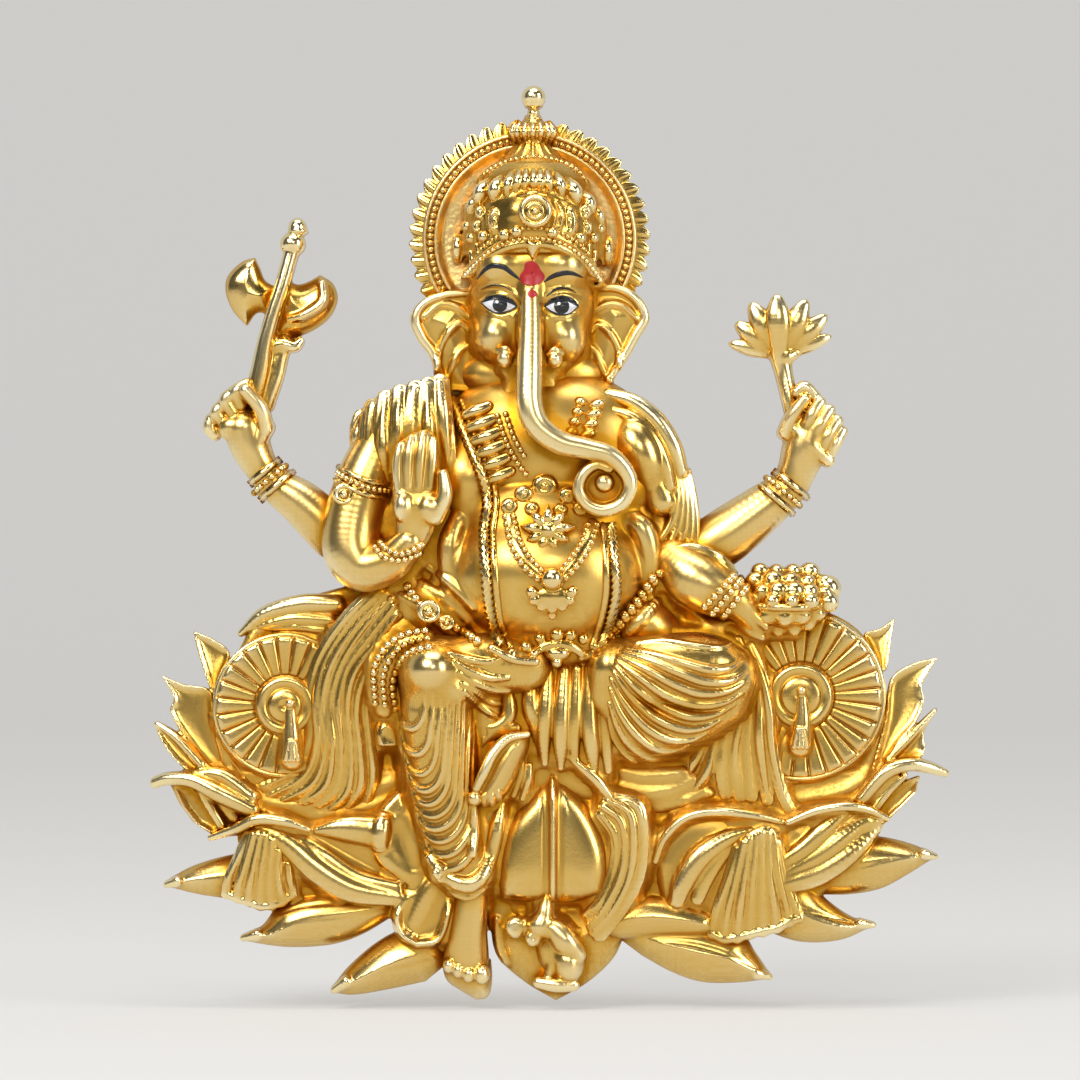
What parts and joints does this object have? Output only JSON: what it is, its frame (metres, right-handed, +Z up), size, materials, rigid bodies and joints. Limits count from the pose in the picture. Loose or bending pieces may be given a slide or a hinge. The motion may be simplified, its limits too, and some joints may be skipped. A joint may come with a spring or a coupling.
{
  "type": "deity figurine",
  "caption": "Flat-backed gilt high relief of a seated elephant-headed deity on an open lotus, with a rayed halo, crown, axe, lotus flower, raised hand and bowl of sweets.",
  "frame": {"origin": "middle of the figure on the flat back face of the plate", "axes": "+Z up the figure, -Y out of the front towards the viewer, +X to the viewer's right"},
  "size_m": [0.0991, 0.019, 0.1139],
  "materials": {
    "gilt_body": "satin gold plate over cast metal, polished on the high points",
    "gilt_cloth": "satin gold plate with darker folds",
    "gilt_petal": "satin gold plate, brighter on the rims",
    "gilt_ornament": "bright gold plate",
    "gilt_ground": "matt stippled gold plate",
    "red_enamel": "hand-painted gloss enamel"
  },
  "bodies": {
    "root": {"back_plate": "gilt_ground", "seat_block": "gilt_ground", "rear_petals_right": "gilt_petal", "rear_petals_left": "gilt_petal", "front_petals_right": "gilt_petal", "front_petals_left": "gilt_petal", "centre_petal": "gilt_petal", "bottom_petal": "gilt_petal", "mouse": "gilt_body", "bolster_right": "gilt_cloth", "bolster_left": "gilt_cloth", "bolster_tassels": "gilt_ornament", "seat_drape_right": "gilt_cloth", "seat_drape_left": "gilt_cloth", "petal_drape_right": "gilt_cloth", "petal_drape_left": "gilt_cloth", "sash_end": "gilt_cloth", "apron": "gilt_cloth", "torso": "gilt_body", "belt": "gilt_ornament", "hip_garland": "gilt_ornament", "sacred_thread": "gilt_ornament", "collar_necklace": "gilt_ornament", "long_necklace": "gilt_ornament", "pendants": "gilt_ornament", "shawl_right": "gilt_cloth", "shawl_left": "gilt_cloth", "head": "gilt_body", "ear_right": "gilt_body", "ear_left": "gilt_body", "trunk": "gilt_body", "tusks": "gilt_body", "tilak": "red_enamel", "crown_band": "gilt_ornament", "crown_dome": "gilt_ornament", "crown_petals": "gilt_ornament", "crown_medallion": "gilt_ornament", "crown_rosettes": "gilt_ornament", "crown_spire": "gilt_ornament", "finial": "gilt_ornament", "halo_disc": "gilt_ground", "halo_rays": "gilt_ornament", "halo_beads": "gilt_ornament", "rear_arm_right": "gilt_body", "rear_arm_left": "gilt_body", "rear_bangles": "gilt_ornament", "axe": "gilt_ornament", "lotus_flower": "gilt_petal", "front_arm_right": "gilt_body", "armlet_right": "gilt_ornament", "front_bangle_right": "gilt_ornament", "front_arm_left": "gilt_body", "front_bangle_left": "gilt_ornament", "bowl": "gilt_ornament", "sweets": "gilt_ornament", "right_leg": "gilt_cloth", "right_foot": "gilt_body", "knee_band": "gilt_ornament", "left_leg": "gilt_cloth", "left_foot": "gilt_body"}
  },
  "joints": []
}
